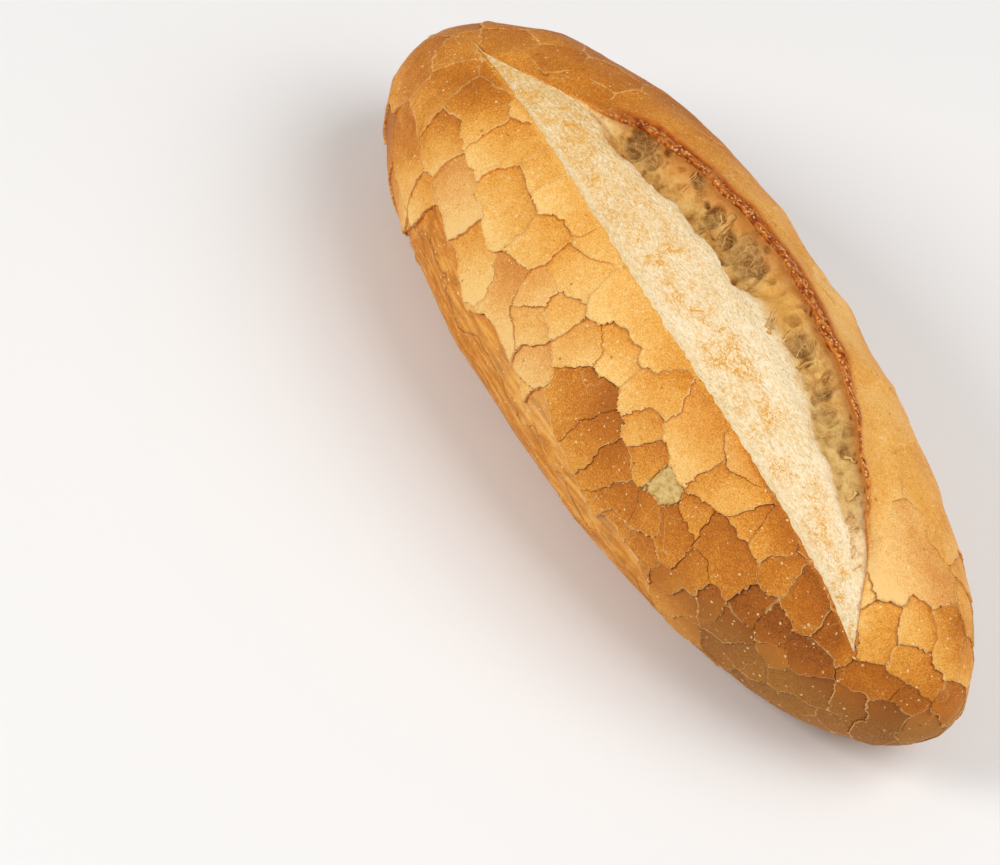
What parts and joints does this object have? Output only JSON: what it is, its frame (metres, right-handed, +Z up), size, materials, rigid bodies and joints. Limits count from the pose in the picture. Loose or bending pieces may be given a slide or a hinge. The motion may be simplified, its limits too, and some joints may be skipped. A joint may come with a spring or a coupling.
{
  "type": "white bread loaf",
  "caption": "Short crusty white loaf lying on a flat base, crackled crust, a lengthwise cut with a risen crumb bloom and a lifted ear of crust.",
  "frame": {"origin": "centre of the loaf's bounding box at its base, on the surface it lies on", "axes": "+X along the loaf towards its slimmer end, +Y towards the side with the lifted ear, +Z up"},
  "size_m": [0.21, 0.0804, 0.063],
  "materials": {
    "crust": "dry crackled golden baked crust, cream crumb in the cut"
  },
  "bodies": {
    "root": {"loaf": "crust"}
  },
  "joints": []
}
